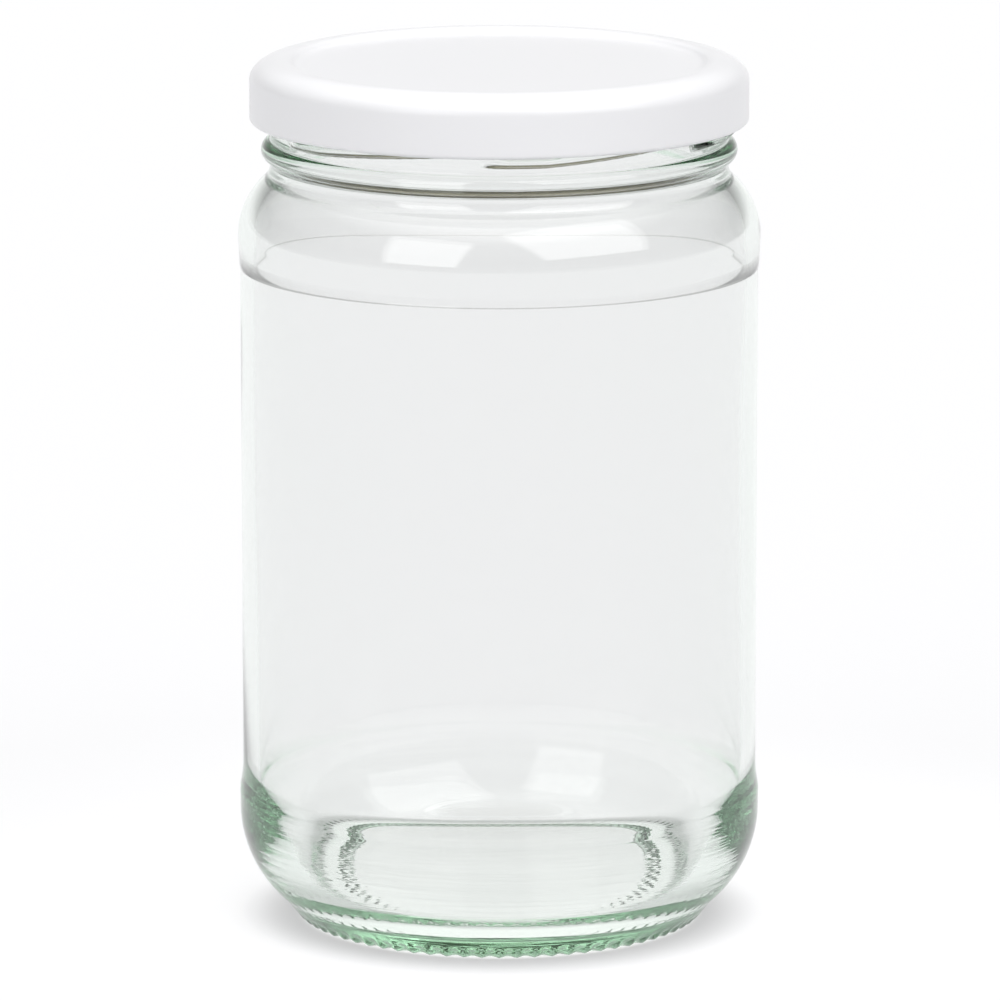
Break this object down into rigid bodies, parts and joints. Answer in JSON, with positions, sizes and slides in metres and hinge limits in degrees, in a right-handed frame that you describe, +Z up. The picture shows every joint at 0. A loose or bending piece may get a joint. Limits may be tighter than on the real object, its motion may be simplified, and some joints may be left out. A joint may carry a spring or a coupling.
{
  "type": "preserving jar",
  "caption": "Round glass preserving jar with a wide mouth, lug threads and a white screw lid whose rim holds a sealing ring.",
  "frame": {"origin": "centre of the bearing ring, on the surface that the jar stands on", "axes": "+Z up along the jar's axis, from the base to the lid; -Y towards the viewer of the front"},
  "size_m": [0.0898, 0.0898, 0.1495],
  "materials": {
    "glass": "clear flint glass with a slight green tint, polished as blown",
    "white_lacquer": "satin white lacquer on tinplate, gold lacquer inside",
    "sealing_compound": "matt off-white sealing compound"
  },
  "bodies": {
    "jar": {"glass_jar": "glass"},
    "seal": {"sealing_ring": "sealing_compound"},
    "lid": {"lid_shell": "white_lacquer"}
  },
  "joints": [
    {"name": "lid_lift", "type": "slide", "parent": "jar", "child": "seal", "axis": [0, 0, 1], "range_m": [0, 0.0168]},
    {"name": "lid_turn", "type": "hinge", "parent": "seal", "child": "lid", "pos_m": [0, 0, 0.1485], "axis": [0, 0, 1], "range_deg": [0, 360]}
  ],
  "couplings": [
    {"joint": "lid_lift", "follows": "lid_turn", "m_per_rad": 0.0026738}
  ]
}
